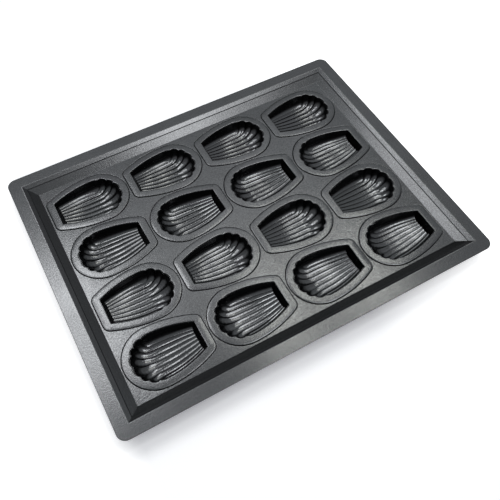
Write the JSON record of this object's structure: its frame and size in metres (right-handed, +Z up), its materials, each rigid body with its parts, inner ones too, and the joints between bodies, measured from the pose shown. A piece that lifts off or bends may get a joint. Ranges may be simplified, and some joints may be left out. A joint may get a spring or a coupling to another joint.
{
  "type": "madeleine pan",
  "caption": "Madeleine baking pan: a shallow tray with sloping walls and a flat hemmed rim, its floor filled with fluted shell-shaped cups in rows that point opposite ways.",
  "frame": {"origin": "under the middle of the pan, on the surface that the cups' undersides stand on", "axes": "+Z up, X along the long side and along the cups, +Y towards the row counted as the first"},
  "size_m": [0.3998, 0.314, 0.0222],
  "materials": {
    "tray_coating": "satin charcoal non-stick coating",
    "cup_coating": "satin charcoal non-stick coating"
  },
  "bodies": {
    "root": {"tray": "tray_coating", "shell_cup_row1_col1": "cup_coating", "shell_cup_row1_col2": "cup_coating", "shell_cup_row1_col3": "cup_coating", "shell_cup_row1_col4": "cup_coating", "shell_cup_row2_col1": "cup_coating", "shell_cup_row2_col2": "cup_coating", "shell_cup_row2_col3": "cup_coating", "shell_cup_row2_col4": "cup_coating", "shell_cup_row3_col1": "cup_coating", "shell_cup_row3_col2": "cup_coating", "shell_cup_row3_col3": "cup_coating", "shell_cup_row3_col4": "cup_coating", "shell_cup_row4_col1": "cup_coating", "shell_cup_row4_col2": "cup_coating", "shell_cup_row4_col3": "cup_coating", "shell_cup_row4_col4": "cup_coating"}
  },
  "joints": []
}
